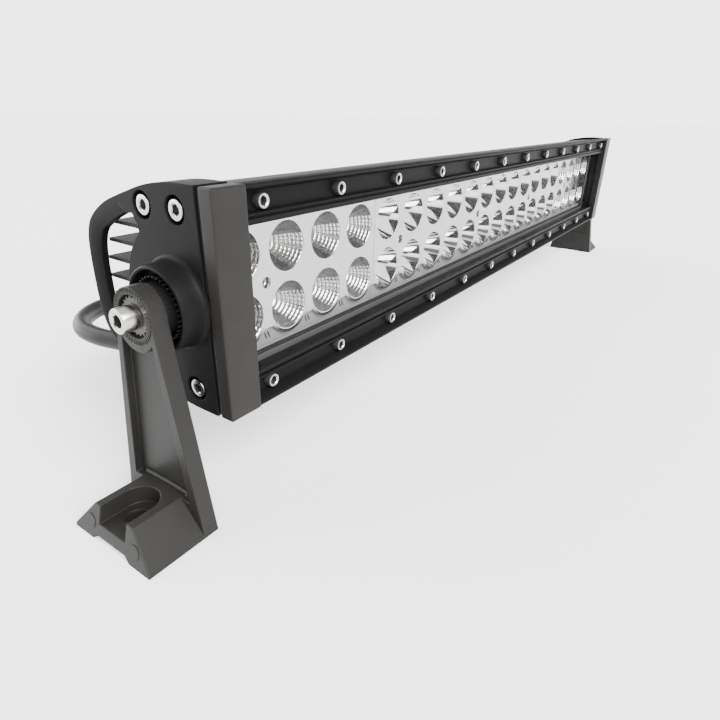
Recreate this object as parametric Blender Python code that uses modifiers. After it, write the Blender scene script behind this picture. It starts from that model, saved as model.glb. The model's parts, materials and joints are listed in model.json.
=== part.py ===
"""LED light bar for a truck or trailer: 40 lamps in two rows, on two swivelling brackets.

Design values are in millimetres on the bar's own datum: x runs along the bar from its middle,
y runs backwards from the faces of the front screw heads, and z is the height over the pivot
axis. The model itself is in metres, +Z up, with its origin on the floor under the middle of
the bar, and it faces -Y.
"""
import math

import bmesh
import bpy
from mathutils import Matrix, Vector

MM = 0.001

# Lamps
LED_PITCH = 25.0
LED_COLUMNS = 20
LED_ROW_Z = 12.2
CUP_FRONT_RADIUS = 10.34
CUP_BACK_RADIUS = 3.4
MODULES = 5
MODULE_COLUMNS = LED_COLUMNS // MODULES
MODULE_LENGTH = LED_PITCH * MODULE_COLUMNS
REFLECTOR_FRONT = 13.1
REFLECTOR_BACK = 26.3
REFLECTOR_HALF_HEIGHT = 27.2

# Front frame
STRIP_END = 246.3
POST_INNER = 246.6
POST_OUTER = 261.1
POST_FRONT = -2.5
POST_BACK = 3.6
FRAME_BACK = 5.0
FRAME_TOP = 39.8
FRONT_SCREWS = 12
FRONT_SCREW_PITCH = 43.07
FRONT_SCREW_Z = 33.48
CHANNEL_FLOOR = 3.0

# Lens and seal
LENS_HALF_LENGTH = 251.0
LENS_HALF_HEIGHT = 30.3
LENS_FRONT = 8.0
LENS_BACK = 11.0
SEAL_FRONT = 11.3
SEAL_BACK = 12.3

# Housing
HOUSING_END = 255.0
HOUSING_FRONT = 5.3
HOUSING_CORNER = 38.4
SIDE_BLOCK_BACK = 37.0
TROUGH_HALF_HEIGHT = 27.5
SHELF_Y = 12.6
SHELF_EDGE = 31.0
WEB_FRONT = 28.3
WEB_BACK = 30.8
CHAMBER_RADIUS = 24.0
CHAMBER_WALL = 2.0
FIN_PITCH = 7.3
FIN_THICKNESS = 1.8
FIN_TIPS = [69.0, 68.5, 66.0, 61.0, 50.0]

# End plates
PLATE_FACE = 261.0
PLATE_BACK = 256.4
HOOD_END = 247.2
HOOD_WALL = 1.5
CROWN_TOP = 40.1
CROWN_FLAT = 14.0
CROWN_CURVE = 0.0068
LOOP_BACK = 71.2
BEVEL_DEPTH = 1.8
CAP_SCREWS = [(15.5, 31.7), (32.5, 31.6)]
COUNTERBORE_RADIUS = 4.7
COUNTERBORE_DEPTH = 3.3

# Pivots and brackets
PIVOT_Y = 20.4
AXIS_HEIGHT = 80.7
COLLAR_RADIUS = 15.3
BRACKET_INNER = 272.0
BRACKET_OUTER = 278.4
HUB_RADIUS = 9.9
HUB_RECESS_RADIUS = 7.4
HUB_RECESS_FLOOR = 276.1
LEG_HALF_FOOT = 22.3
FLANGE_WIDTH = 4.5
WEB_FLOOR = 275.5
FOOT_OUTER = 301.8
FOOT_LEAN = 3.6
FOOT_TOP = 67.0
FOOT_EDGE = 79.3
FOOT_TOP_HALF = 11.0
SLOT_RADIUS = 7.65
SLOT_CENTRE = 288.4
SLOT_FLOOR = 74.0
FOOT_HOLE_X = 290.0
FOOT_HOLE_RADIUS = 4.25
GROOVE_DEPTH = 2.0
BOLT_HEAD_RADIUS = 4.25
BOLT_RADIUS = 2.5
BORE_RADIUS = 2.8
BOLT_FACE = 283.8

# Lead
CABLE_DIAMETER = 8.2
GLAND_BASE = (-241.0, 39.8, -30.1)
GLAND_TIP = (-246.4, 59.7, -31.6)
CABLE_ROUTE = [
    (-246.5, 60.0, -31.6), (-249.2, 70.0, -32.3), (-252.0, 80.0, -32.6), (-254.4, 90.0, -32.4),
    (-254.6, 100.0, -32.0), (-251.0, 109.3, -31.8), (-244.2, 117.0, -31.8), (-235.5, 122.8, -32.2),
    (-225.0, 127.5, -33.5), (-213.0, 131.5, -36.5), (-199.5, 135.0, -42.0), (-184.0, 138.5, -49.0),
    (-167.0, 142.5, -57.0), (-150.0, 147.0, -65.0), (-132.0, 152.0, -72.0), (-113.0, 157.5, -75.8),
    (-92.0, 163.5, -76.5), (-66.0, 170.0, -76.5), (-38.0, 175.0, -76.5), (-8.0, 178.0, -76.5),
    (24.0, 179.0, -76.5), (58.0, 178.5, -76.4), (90.0, 177.0, -75.6), (118.0, 176.0, -73.6),
    (146.0, 175.5, -72.6),
]
CABLE_POINT_SPACING = 16.0
CONNECTOR_GAP = 0.4

# Fits
GAP = 0.3
ORIGIN_Y = (POST_FRONT + LOOP_BACK) / 2

COLOURS = {
    "housing": ((0.022, 0.021, 0.022), 0.42, 0.6),
    "frame": ((0.030, 0.029, 0.029), 0.38, 0.6),
    "bracket": ((0.060, 0.058, 0.055), 0.60, 0.3),
    "steel": ((0.72, 0.71, 0.69), 0.25, 1.0),
    "dark_steel": ((0.10, 0.10, 0.10), 0.40, 1.0),
    "chrome": ((0.88, 0.88, 0.88), 0.06, 1.0),
    "lens": ((0.90, 0.92, 0.92), 0.03, 0.0),
    "silicone": ((0.55, 0.55, 0.54), 0.60, 0.0),
    "board": ((0.80, 0.80, 0.78), 0.45, 0.0),
    "circuit": ((0.04, 0.16, 0.07), 0.45, 0.0),
    "rubber": ((0.045, 0.044, 0.043), 0.70, 0.0),
}


# Scene and object helpers

def clear_scene():
    for old in list(bpy.data.objects):
        bpy.data.objects.remove(old, do_unlink=True)


def new_collection(name):
    collection = bpy.data.collections.new(name)
    bpy.context.scene.collection.children.link(collection)
    return collection


def make_material(name):
    colour, roughness, metallic = COLOURS[name]
    material = bpy.data.materials.new(name)
    material.use_nodes = True
    shader = material.node_tree.nodes["Principled BSDF"]
    shader.inputs["Base Color"].default_value = (*colour, 1.0)
    shader.inputs["Roughness"].default_value = roughness
    shader.inputs["Metallic"].default_value = metallic
    return material


def point(x, y, z):
    """A place on the bar's datum, in the model's metres."""
    return Vector((x, y - ORIGIN_Y, z + AXIS_HEIGHT)) * MM


def add_object(name, mesh, collection):
    body = bpy.data.objects.new(name, mesh)
    collection.objects.link(body)
    return body


def finish_part(body, look):
    """Give a part its own material and smooth shading over its round stretches."""
    material = make_material(look)
    material.name = body.name
    body.data.materials.clear()
    body.data.materials.append(material)
    body.data.shade_smooth()
    body.data.set_sharp_from_angle(angle=math.radians(35))
    return body


def as_cutter(body):
    for collection in list(body.users_collection):
        collection.objects.unlink(body)
    CUTTERS.objects.link(body)
    body.hide_render = True
    body.display_type = "WIRE"
    return body


def combine(body, tool, operation):
    modifier = body.modifiers.new(tool.name, "BOOLEAN")
    modifier.operation = operation
    modifier.solver = "EXACT"
    modifier.object = as_cutter(tool)


def cut(body, tool):
    combine(body, tool, "DIFFERENCE")


def join(body, tool):
    combine(body, tool, "UNION")


def move_origin(body, place):
    """Put an object's origin at a place, with its mesh left where it is."""
    bpy.context.view_layer.update()
    body.data.transform(Matrix.Translation(-place) @ body.matrix_world)
    body.rotation_euler = (0, 0, 0)
    body.location = place


# Outlines

def arc(centre, radius, start, end, steps):
    """Points along an arc, its angles in degrees."""
    places = []
    for step in range(steps + 1):
        angle = math.radians(start + (end - start) * step / steps)
        places.append((centre[0] + radius * math.cos(angle), centre[1] + radius * math.sin(angle)))
    return places


def circle(centre, radius, steps):
    return arc(centre, radius, 0, 360, steps)[:-1]


def smooth(points, steps):
    """A smooth curve through the given points, with some steps between each two."""
    points = [Vector(place) for place in points]
    padded = [2 * points[0] - points[1]] + points + [2 * points[-1] - points[-2]]
    places = []
    for before, start, end, after in zip(padded, padded[1:], padded[2:], padded[3:]):
        for step in range(steps):
            t = step / steps
            bend = (2 * start + (end - before) * t
                    + (2 * before - 5 * start + 4 * end - after) * t ** 2
                    + (3 * start - before - 3 * end + after) * t ** 3)
            places.append(bend / 2)
    places.append(points[-1])
    return [tuple(place) for place in places]


def mirrored(half):
    """A closed outline from its upper half, which ends on the mirror line or stops short of it."""
    lower = [(y, -z) for y, z in reversed(half) if abs(z) > 1e-6]
    return half + lower


def crown(y):
    """Height of the end plate's top edge at a depth behind the front."""
    return CROWN_TOP - CROWN_CURVE * max(0.0, y - CROWN_FLAT) ** 2


# Solids

TURNS = {
    "X": (math.radians(90), 0, math.radians(90)),
    "Y": (math.radians(90), 0, 0),
    "Z": (0, 0, 0),
}


def prism(name, loops, axis, low, high):
    """A flat outline, with any holes in it, carried along one axis from low to high."""
    curve = bpy.data.curves.new(name, "CURVE")
    curve.dimensions = "2D"
    curve.fill_mode = "BOTH"
    curve.extrude = abs(high - low) / 2 * MM
    for loop in loops:
        spline = curve.splines.new("POLY")
        spline.points.add(len(loop) - 1)
        for knot, (a, b) in zip(spline.points, loop):
            knot.co = (a * MM, b * MM, 0, 1)
        spline.use_cyclic_u = True
    guide = add_object(name + "_outline", curve, PARTS)
    guide.rotation_euler = TURNS[axis]
    middle = (low + high) / 2
    guide.location = point(*(middle if axis == letter else 0 for letter in "XYZ"))
    bpy.context.view_layer.update()
    seen = guide.evaluated_get(bpy.context.evaluated_depsgraph_get())
    mesh = bpy.data.meshes.new_from_object(seen)
    weld(mesh)
    body = add_object(name, mesh, PARTS)
    body.matrix_world = guide.matrix_world
    bpy.data.objects.remove(guide, do_unlink=True)
    return body


def weld(mesh):
    """Close the seams of a mesh made from a curve and face it outwards."""
    shell = bmesh.new()
    shell.from_mesh(mesh)
    bmesh.ops.remove_doubles(shell, verts=shell.verts, dist=0.000001)
    face_outwards(shell)
    shell.to_mesh(mesh)
    shell.free()


def face_outwards(shell):
    bmesh.ops.recalc_face_normals(shell, faces=shell.faces)
    if shell.calc_volume(signed=True) < 0:
        bmesh.ops.reverse_faces(shell, faces=shell.faces)


def rods(name, ends, radii, segments):
    """Round bars, or cones with two radii, between pairs of places, all in one tool."""
    shell = bmesh.new()
    for start, end in ends:
        along = point(*end) - point(*start)
        turn = along.to_track_quat("Z", "Y").to_matrix().to_4x4()
        middle = (point(*start) + point(*end)) / 2
        bmesh.ops.create_cone(
            shell, cap_ends=True, segments=segments, radius1=radii[0] * MM, radius2=radii[1] * MM,
            depth=along.length, matrix=Matrix.Translation(middle) @ turn)
    mesh = bpy.data.meshes.new(name)
    shell.to_mesh(mesh)
    shell.free()
    return add_object(name, mesh, PARTS)


def rod(name, start, end, radius, segments=24):
    return rods(name, [(start, end)], (radius, radius), segments)


def block(name, low, high):
    """A box between two corners on the bar's datum."""
    bpy.ops.mesh.primitive_cube_add(size=1, location=(point(*low) + point(*high)) / 2)
    body = bpy.context.object
    body.name = name
    span = point(*high) - point(*low)
    body.data.transform(Matrix.Diagonal((abs(span.x), abs(span.y), abs(span.z), 1)))
    for collection in list(body.users_collection):
        collection.objects.unlink(body)
    PARTS.objects.link(body)
    return body


def turned(name, profile, start, direction, steps):
    """A profile of (radius, height) pairs, top first, turned about a line from start."""
    mesh = bpy.data.meshes.new(name)
    places = [(radius * MM, 0, height * MM) for radius, height in profile]
    mesh.from_pydata(places, [(i, i + 1) for i in range(len(places) - 1)], [])
    body = add_object(name, mesh, PARTS)
    body.location = point(*start)
    body.rotation_euler = Vector(direction).to_track_quat("Z", "Y").to_euler()
    screw = body.modifiers.new("turn", "SCREW")
    screw.steps = steps
    screw.render_steps = steps
    screw.use_merge_vertices = True
    screw.merge_threshold = 0.00001
    return body


def loft(name, outlines):
    """A solid through outlines with as many points each, given as places on the datum."""
    shell = bmesh.new()
    rings = [[shell.verts.new(point(*place)) for place in outline] for outline in outlines]
    count = len(outlines[0])
    for low, high in zip(rings, rings[1:]):
        for i in range(count):
            j = (i + 1) % count
            shell.faces.new((low[i], low[j], high[j], high[i]))
    bmesh.ops.triangulate(shell, faces=shell.faces)
    shell.faces.new(rings[0])
    shell.faces.new(rings[-1])
    face_outwards(shell)
    mesh = bpy.data.meshes.new(name)
    shell.to_mesh(mesh)
    shell.free()
    return add_object(name, mesh, PARTS)


# Front frame and lens

def strip_section(side):
    """Section of a bezel strip: outer lip, screw channel, bead and lens nose."""
    half = [
        (CHANNEL_FLOOR, 36.6), (-1.6, 38.3), (-2.0, 38.7), (-2.0, 39.4), (-1.6, FRAME_TOP),
        (POST_BACK, FRAME_TOP), (POST_BACK, 38.4), (FRAME_BACK, 38.4), (FRAME_BACK, 30.6),
        (LENS_FRONT - GAP, 30.6), (LENS_FRONT - GAP, 27.6), (0.6, 26.2), (0.2, 26.6), (0.2, 28.0),
        (1.0, 28.5), (1.0, 29.2), (0.0, 29.5), (0.0, 30.1), (CHANNEL_FLOOR, 30.3),
    ]
    return [(y, z * side) for y, z in half]


def front_screw_xs():
    first = -FRONT_SCREW_PITCH * (FRONT_SCREWS - 1) / 2
    return [first + FRONT_SCREW_PITCH * i for i in range(FRONT_SCREWS)]


def make_strip(name, side):
    strip = prism(name, [strip_section(side)], "X", -STRIP_END, STRIP_END)
    z = FRONT_SCREW_Z * side
    holes = rods(name + "_holes", [((x, 2, z), (x, 6, z)) for x in front_screw_xs()], (1.8, 1.8), 8)
    cut(strip, holes)
    return finish_part(strip, "frame")


def make_front_screws(side, label):
    """M3 socket screws along one strip, all sharing one mesh."""
    z = FRONT_SCREW_Z * side
    shared = None
    for i, x in enumerate(front_screw_xs()):
        name = f"{label}_bezel_screw_{i + 1:02d}"
        if shared is None:
            screw = make_screw(name, (x, 0, z), (0, 1, 0), 2.9, 2.7, 1.5, 9.5, 1.45)
            shared = screw.data
        else:
            screw = add_object(name, shared, PARTS)
            screw.location = point(x, 0, z)


def make_screw(name, face, direction, head_radius, head_length, radius, length, socket):
    """A socket-head screw whose head face is at the given place, driven along direction."""
    along = Vector(direction)
    start = Vector(face)
    under = start + along * head_length
    head = rod(name, start, under, head_radius, 12)
    shank = rod(name + "_shank", under - along * 0.5, start + along * length, radius, 6)
    drive = rod(name + "_socket", start - along, start + along * head_length * 0.6, socket, 6)
    join(head, shank)
    cut(head, drive)
    bpy.context.view_layer.update()
    seen = head.evaluated_get(bpy.context.evaluated_depsgraph_get())
    mesh = bpy.data.meshes.new_from_object(seen)
    for tool in (shank, drive, head):
        bpy.data.objects.remove(tool, do_unlink=True)
    screw = add_object(name, mesh, PARTS)
    move_origin(screw, point(*face))
    return finish_part(screw, "steel")


def make_post(name, side):
    """End piece of the frame, with the step behind it and the nose that holds the lens end."""
    post = block(name, (side * POST_INNER, POST_FRONT, -39.9), (side * POST_OUTER, POST_BACK, 39.9))
    rim = post.modifiers.new("rim", "BEVEL")
    rim.width = 0.8 * MM
    rim.segments = 2
    rim.limit_method = "ANGLE"
    step = block(name + "_step", (side * (POST_INNER + 0.5), POST_BACK - 1, -38.4),
                 (side * (POST_OUTER - 1), FRAME_BACK, 38.4))
    nose = block(name + "_nose", (side * (POST_INNER + 0.5), POST_BACK - 1, -30),
                 (side * 250.7, LENS_FRONT - GAP, 30))
    join(post, step)
    join(post, nose)
    return finish_part(post, "frame")


def rectangle(half_x, half_z):
    return [(-half_x, -half_z), (half_x, -half_z), (half_x, half_z), (-half_x, half_z)]


def make_lens():
    lens = prism("lens", [rectangle(LENS_HALF_LENGTH, LENS_HALF_HEIGHT)], "Y", LENS_FRONT, LENS_BACK)
    finish_part(lens, "lens")
    outer = rectangle(LENS_HALF_LENGTH - 0.3, LENS_HALF_HEIGHT)
    window = rectangle(LENS_HALF_LENGTH - 3.2, 27.8)
    seal = prism("lens_gasket", [outer, window], "Y", SEAL_FRONT, SEAL_BACK)
    finish_part(seal, "silicone")


# Lamps and electronics

def module_columns(index):
    middle = MODULE_LENGTH * (index - (MODULES - 1) / 2)
    offsets = [LED_PITCH * (i - (MODULE_COLUMNS - 1) / 2) for i in range(MODULE_COLUMNS)]
    return middle, [middle + offset for offset in offsets]


def make_reflector(index):
    """One reflector module: a block with a tapered cup through it for each lamp."""
    middle, columns = module_columns(index)
    name = f"reflector_{index + 1}"
    half = MODULE_LENGTH / 2 - GAP / 2
    module = block(name, (middle - half, REFLECTOR_FRONT, -REFLECTOR_HALF_HEIGHT),
                   (middle + half, REFLECTOR_BACK, REFLECTOR_HALF_HEIGHT))
    depth = REFLECTOR_BACK - REFLECTOR_FRONT
    taper = (CUP_FRONT_RADIUS - CUP_BACK_RADIUS) / depth
    over = 0.5
    radii = (CUP_FRONT_RADIUS + taper * over, CUP_BACK_RADIUS - taper * over)
    ends = [((x, REFLECTOR_FRONT - over, z), (x, REFLECTOR_BACK + over, z))
            for x in columns for z in (-LED_ROW_Z, LED_ROW_Z)]
    cut(module, rods(name + "_cups", ends, radii, 12))
    return finish_part(module, "chrome")


def make_led_board():
    board = block("led_board", (-249.5, 26.6, -26.5), (249.5, 28.0, 26.5))
    return finish_part(board, "board")


def make_driver_board():
    """Driver board in the rear chamber, with its coil, capacitors and chip block."""
    board = block("driver_board", (-110, 34.0, -16.5), (110, 35.6, 16.5))
    for i, (x, half_x, half_z, top) in enumerate([(-80, 12, 9, 41), (-35, 8, 11, 39.5),
                                                  (15, 14, 8, 41), (70, 10, 10, 40)]):
        item = block(f"driver_item_{i}", (x - half_x, 35.0, -half_z), (x + half_x, top, half_z))
        join(board, item)
    return finish_part(board, "circuit")


# Housing

def housing_outline():
    """Upper half of the heat sink's section, from the trough round the fins to the middle."""
    hood_gap = HOOD_WALL + GAP
    half = [
        (WEB_FRONT, 0), (WEB_FRONT, TROUGH_HALF_HEIGHT), (SHELF_Y, TROUGH_HALF_HEIGHT),
        (SHELF_Y, SHELF_EDGE), (HOUSING_FRONT, SHELF_EDGE), (HOUSING_FRONT, HOUSING_CORNER),
    ]
    half += [(y, crown(y) - hood_gap) for y in (CROWN_FLAT, 20, 26, 32, SIDE_BLOCK_BACK)]
    wall = CHAMBER_RADIUS + CHAMBER_WALL
    half_fin = FIN_THICKNESS / 2
    for count in range(len(FIN_TIPS) - 1, 0, -1):
        z = FIN_PITCH * count
        tip = FIN_TIPS[count]
        half += [(fin_root(z + half_fin, wall), z + half_fin), (tip, z + half_fin * 0.7),
                 (tip, z - half_fin * 0.7), (fin_root(z - half_fin, wall), z - half_fin)]
        if count == len(FIN_TIPS) - 1:
            half += [(SIDE_BLOCK_BACK, 27.0), (fin_root(26.0, wall), 26.0)]
    half += [(fin_root(half_fin, wall), half_fin), (FIN_TIPS[0], half_fin * 0.7)]
    return half


def fin_root(z, wall):
    """Depth at which a fin leaves the chamber's round wall, or the side block."""
    if z > 27.0:
        return SIDE_BLOCK_BACK
    return max(33.0, PIVOT_Y + math.sqrt(max(0.0, wall ** 2 - z ** 2)))


def chamber_outline():
    limit = math.degrees(math.acos((WEB_BACK - PIVOT_Y) / CHAMBER_RADIUS))
    return arc((PIVOT_Y, 0), CHAMBER_RADIUS, -limit, limit, 14)


def make_housing():
    outline = mirrored(housing_outline()[1:])
    housing = prism("housing", [outline, chamber_outline()], "X", -HOUSING_END, HOUSING_END)
    cut(housing, block("gland_space", (-260, SIDE_BLOCK_BACK + 0.01, -33), (-226, 55, -26)))
    base = Vector(GLAND_BASE)
    along = (Vector(GLAND_TIP) - base).normalized()
    boss = rod("gland_boss", base - along * 7.0, base - along * GAP, 6.7, 20)
    join(housing, boss)
    front = [((x, 4, z), (x, 11.5, z)) for x in front_screw_xs()
             for z in (-FRONT_SCREW_Z, FRONT_SCREW_Z)]
    cut(housing, rods("housing_front_holes", front, (1.8, 1.8), 8))
    ends = [((side * 242, y, z * up), (side * 260, y, z * up))
            for side in (-1, 1) for up in (-1, 1) for y, z in CAP_SCREWS]
    cut(housing, rods("housing_end_holes", ends, (2.3, 2.3), 8))
    return finish_part(housing, "housing")


# End plates

def silhouette():
    """The end plate's outline: straight front, crowned top and the round back of the loop."""
    crowned = [(y, crown(y)) for y in (HOUSING_FRONT, CROWN_FLAT, 20, 26, 32, 37)]
    back = smooth([(37, crown(37)), (47.2, 33.3), (54.4, 30.7), (60, 27.8), (64.5, 24.7),
                   (68, 20.8), (70.2, 15), (71.1, 7), (LOOP_BACK, 0)], 2)
    return mirrored(crowned + back[1:])


def opening_front():
    """Upper half of the plate's scalloped rear edge: round the pivot, then round a screw."""
    cusp_y = 36.6
    angle = math.degrees(math.acos((cusp_y - PIVOT_Y) / 27.1))
    around_pivot = arc((PIVOT_Y, 0), 27.1, 0, angle, 6)
    around_screw = smooth([around_pivot[-1], (37.3, 25.2), (39.2, 28.2)], 2)
    return around_pivot + around_screw[1:]


def opening(outer):
    """The loop's opening, at the plate's face when outer, or inside its wide bevel."""
    if outer:
        rear = [(46.4, 31.4), (54.7, 28.4), (60.5, 25.6), (65.4, 21.6), (68.4, 15.5), (69.9, 7.5)]
        end = (70.1, 0)
    else:
        rear = [(45.6, 27.4), (51.5, 25.0), (56.6, 22.5), (61.6, 19.3), (64.6, 14.2), (65.9, 7.0)]
        end = (66.2, 0)
    curve = smooth(rear + [end], 2)
    half = opening_front() + curve
    return half + [(y, -z) for y, z in reversed(half[1:-1])]


def make_end_plate(name, side):
    plate = prism(name, [silhouette()], "X", side * HOOD_END, side * PLATE_FACE)
    stations = (CROWN_FLAT, 20, 26, 32, 35)
    half = [(-10, CROWN_TOP - HOOD_WALL)] + [(y, crown(y) - HOOD_WALL) for y in stations]
    half += [(35, 60), (90, 60)]
    cut(plate, prism(name + "_inside", [mirrored(half)], "X", side * PLATE_BACK, side * 240))
    cut(plate, prism(name + "_opening", [opening(False)], "X", side * 250, side * 270))
    cut(plate, make_bevel_tool(name + "_bevel", side))
    join(plate, make_collar(name + "_collar", side))
    holes = []
    bores = []
    for up in (-1, 1):
        for y, z in CAP_SCREWS:
            holes.append(((side * 250, y, z * up), (side * 263, y, z * up)))
            bores.append(((side * (PLATE_FACE - COUNTERBORE_DEPTH), y, z * up), (side * 263, y, z * up)))
    cut(plate, rods(name + "_holes", holes, (2.3, 2.3), 10))
    bore = (COUNTERBORE_RADIUS, COUNTERBORE_RADIUS)
    cut(plate, rods(name + "_counterbores", bores, bore, 16))
    cut(plate, rod(name + "_bore", (side * 258.8, PIVOT_Y, 0), (side * 275, PIVOT_Y, 0), BORE_RADIUS, 16))
    return finish_part(plate, "housing")


def make_bevel_tool(name, side):
    """Cutter for the wide bevel round the opening; its front wall stands free in the opening."""
    rings = []
    for rise in (-BEVEL_DEPTH - 0.4, 1.0):
        ring = []
        for (y0, z0), (y1, z1) in zip(opening(False), opening(True)):
            if (y0, z0) == (y1, z1):
                place = (y0 + 0.8, z0 * 0.97)
            else:
                share = 1 + rise / BEVEL_DEPTH
                place = (y0 + (y1 - y0) * share, z0 + (z1 - z0) * share)
            ring.append((side * (PLATE_FACE + rise), *place))
        rings.append(ring)
    return loft(name, rings)


def make_collar(name, side):
    """Round boss with a lip, a recess and the inner ring that the bracket is clamped on."""
    ring_top = BRACKET_INNER - 0.4 - PLATE_FACE
    profile = [
        (0, ring_top), (10.0, ring_top), (10.0, 4.0), (13.6, 4.0), (13.6, 9.0), (14.5, 9.0),
        (14.9, 8.4), (COLLAR_RADIUS, -1.0), (0, -1.0),
    ]
    return turned(name, profile, (side * PLATE_FACE, PIVOT_Y, 0), (side, 0, 0), 28)


def make_end_gasket(name, side):
    """Rubber seal between the housing's end and the end plate."""
    outer = mirrored([(6, 36.5), (20, 36), (30, 34.5), (36.5, 30), (40, 20), (45.5, 7)])
    window = mirrored([(9, 24), (28, 24), (37, 15)])
    loops = [outer, window]
    for up in (-1, 1):
        for y, z in CAP_SCREWS:
            loops.append(circle((y, z * up), 2.4, 10))
    low = HOUSING_END + GAP
    gasket = prism(name, loops, "X", side * low, side * (PLATE_BACK - GAP))
    return finish_part(gasket, "silicone")


def make_cap_screws(label, side):
    """M4 socket screws that hold one end plate, in its counterbores."""
    number = 1
    face = PLATE_FACE - 0.2
    for y, z in CAP_SCREWS:
        for up in (1, -1):
            name = f"{label}_cap_screw_{number}"
            make_screw(name, (side * face, y, z * up), (-side, 0, 0), 3.5, 2.8, 2.0, 15.0, 1.75)
            number += 1


# Brackets

def leg_half(z):
    """Half the leg's width at a height, from the hub down to the foot."""
    return HUB_RADIUS + (LEG_HALF_FOOT - HUB_RADIUS) * -z / AXIS_HEIGHT


def foot_section(x_bottom, lean):
    """Foot section as places: wide at the floor, with sloping sides up to the flat top."""
    shape = [(LEG_HALF_FOOT, -AXIS_HEIGHT), (LEG_HALF_FOOT, -FOOT_EDGE), (FOOT_TOP_HALF, -FOOT_TOP),
             (-FOOT_TOP_HALF, -FOOT_TOP), (-LEG_HALF_FOOT, -FOOT_EDGE), (-LEG_HALF_FOOT, -AXIS_HEIGHT)]
    height = AXIS_HEIGHT - FOOT_TOP
    return [(x_bottom - lean * (z + AXIS_HEIGHT) / height, PIVOT_Y + y, z) for y, z in shape]


def make_bracket(name, side):
    """Swivel bracket: splined hub, webbed leg and a slotted foot."""
    leg_angle = math.degrees(math.atan((LEG_HALF_FOOT - HUB_RADIUS) / AXIS_HEIGHT))
    outline = arc((PIVOT_Y, 0), HUB_RADIUS, -leg_angle, 180 + leg_angle, 20)
    outline += [(PIVOT_Y - LEG_HALF_FOOT, -AXIS_HEIGHT), (PIVOT_Y + LEG_HALF_FOOT, -AXIS_HEIGHT)]
    bracket = prism(name, [outline], "X", side * BRACKET_INNER, side * BRACKET_OUTER)
    top, bottom = -13.0, -FOOT_TOP - 0.6
    web = [(PIVOT_Y - leg_half(bottom) + FLANGE_WIDTH, bottom),
           (PIVOT_Y + leg_half(bottom) - FLANGE_WIDTH, bottom),
           (PIVOT_Y + leg_half(top) - FLANGE_WIDTH, top),
           (PIVOT_Y - leg_half(top) + FLANGE_WIDTH, top)]
    cut(bracket, prism(name + "_web", [web], "X", side * WEB_FLOOR, side * 285))
    foot = loft(name + "_foot", [foot_section(side * (BRACKET_INNER + 0.5), 0),
                                 foot_section(side * FOOT_OUTER, side * FOOT_LEAN)])
    join(bracket, foot)
    start = 90 if side > 0 else -90
    slot = arc((side * SLOT_CENTRE, PIVOT_Y), SLOT_RADIUS, start, start + 180, 16)
    slot += [(side * 310, slot[-1][1]), (side * 310, slot[0][1])]
    cut(bracket, prism(name + "_slot", [slot], "Z", -SLOT_FLOOR, -50))
    hole_x = side * FOOT_HOLE_X
    cut(bracket, rod(name + "_foot_hole", (hole_x, PIVOT_Y, -90), (hole_x, PIVOT_Y, -70),
                     FOOT_HOLE_RADIUS, 20))
    floor = -AXIS_HEIGHT
    groove = [(PIVOT_Y - 11.6, floor - 0.5), (PIVOT_Y + 11.6, floor - 0.5),
              (PIVOT_Y + 8.0, floor + GROOVE_DEPTH), (PIVOT_Y - 8.0, floor + GROOVE_DEPTH)]
    cut(bracket, prism(name + "_groove", [groove], "X", side * 260, side * 310))
    cut(bracket, rod(name + "_recess", (side * HUB_RECESS_FLOOR, PIVOT_Y, 0),
                     (side * 285, PIVOT_Y, 0), HUB_RECESS_RADIUS, 28))
    cut(bracket, rod(name + "_bore", (side * 265, PIVOT_Y, 0), (side * 285, PIVOT_Y, 0),
                     BORE_RADIUS, 16))
    move_origin(bracket, point(side * BRACKET_INNER, PIVOT_Y, 0))
    return finish_part(bracket, "bracket")


def make_lock_washer(name, side):
    teeth = 16
    outline = []
    for i in range(teeth * 2):
        radius = 6.9 if i % 2 else 6.1
        angle = math.pi * i / teeth
        outline.append((PIVOT_Y + radius * math.cos(angle), radius * math.sin(angle)))
    low = HUB_RECESS_FLOOR + GAP
    washer = prism(name, [outline, circle((PIVOT_Y, 0), 3.0, 16)], "X", side * low, side * (low + 1.0))
    move_origin(washer, point(side * BRACKET_INNER, PIVOT_Y, 0))
    return finish_part(washer, "dark_steel")


def make_pivot_bolt(name, side):
    """M5 socket-cap bolt through the bracket's hub into the end plate's collar."""
    face = (side * BOLT_FACE, PIVOT_Y, 0)
    under = side * (HUB_RECESS_FLOOR + 2 * GAP + 1.0)
    bolt = rod(name, face, (under, PIVOT_Y, 0), BOLT_HEAD_RADIUS, 24)
    join(bolt, rod(name + "_shank", (under + side, PIVOT_Y, 0), (side * 260, PIVOT_Y, 0), BOLT_RADIUS, 14))
    cut(bolt, rod(name + "_socket", (side * 285, PIVOT_Y, 0), (side * 281, PIVOT_Y, 0), 2.3, 6))
    return finish_part(bolt, "steel")


# Lead

def make_gland():
    base = Vector(GLAND_BASE)
    tip = Vector(GLAND_TIP)
    along = (tip - base).normalized()
    length = (tip - base).length
    gland = rod("cable_gland", base, base + along * 5.5, 6.9, 6)
    profile = [(0, length), (4.9, length), (5.9, length - 2.2), (6.2, length - 6.0), (6.2, 9.0),
               (5.6, 8.2), (5.6, 5.0), (0, 5.0)]
    join(gland, turned("gland_dome", profile, base, along, 20))
    return finish_part(gland, "rubber")


def cable_path():
    """Evenly spaced points on a smooth curve through the route."""
    fine = [Vector(place) for place in smooth(CABLE_ROUTE, 12)]
    total = sum((b - a).length for a, b in zip(fine, fine[1:]))
    count = round(total / CABLE_POINT_SPACING)
    step = total / count
    path = [fine[0]]
    walked = 0.0
    for start, end in zip(fine, fine[1:]):
        span = (end - start).length
        while len(path) < count and walked + span >= step * len(path):
            path.append(start.lerp(end, (step * len(path) - walked) / span))
        walked += span
    path.append(fine[-1])
    return path


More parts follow.
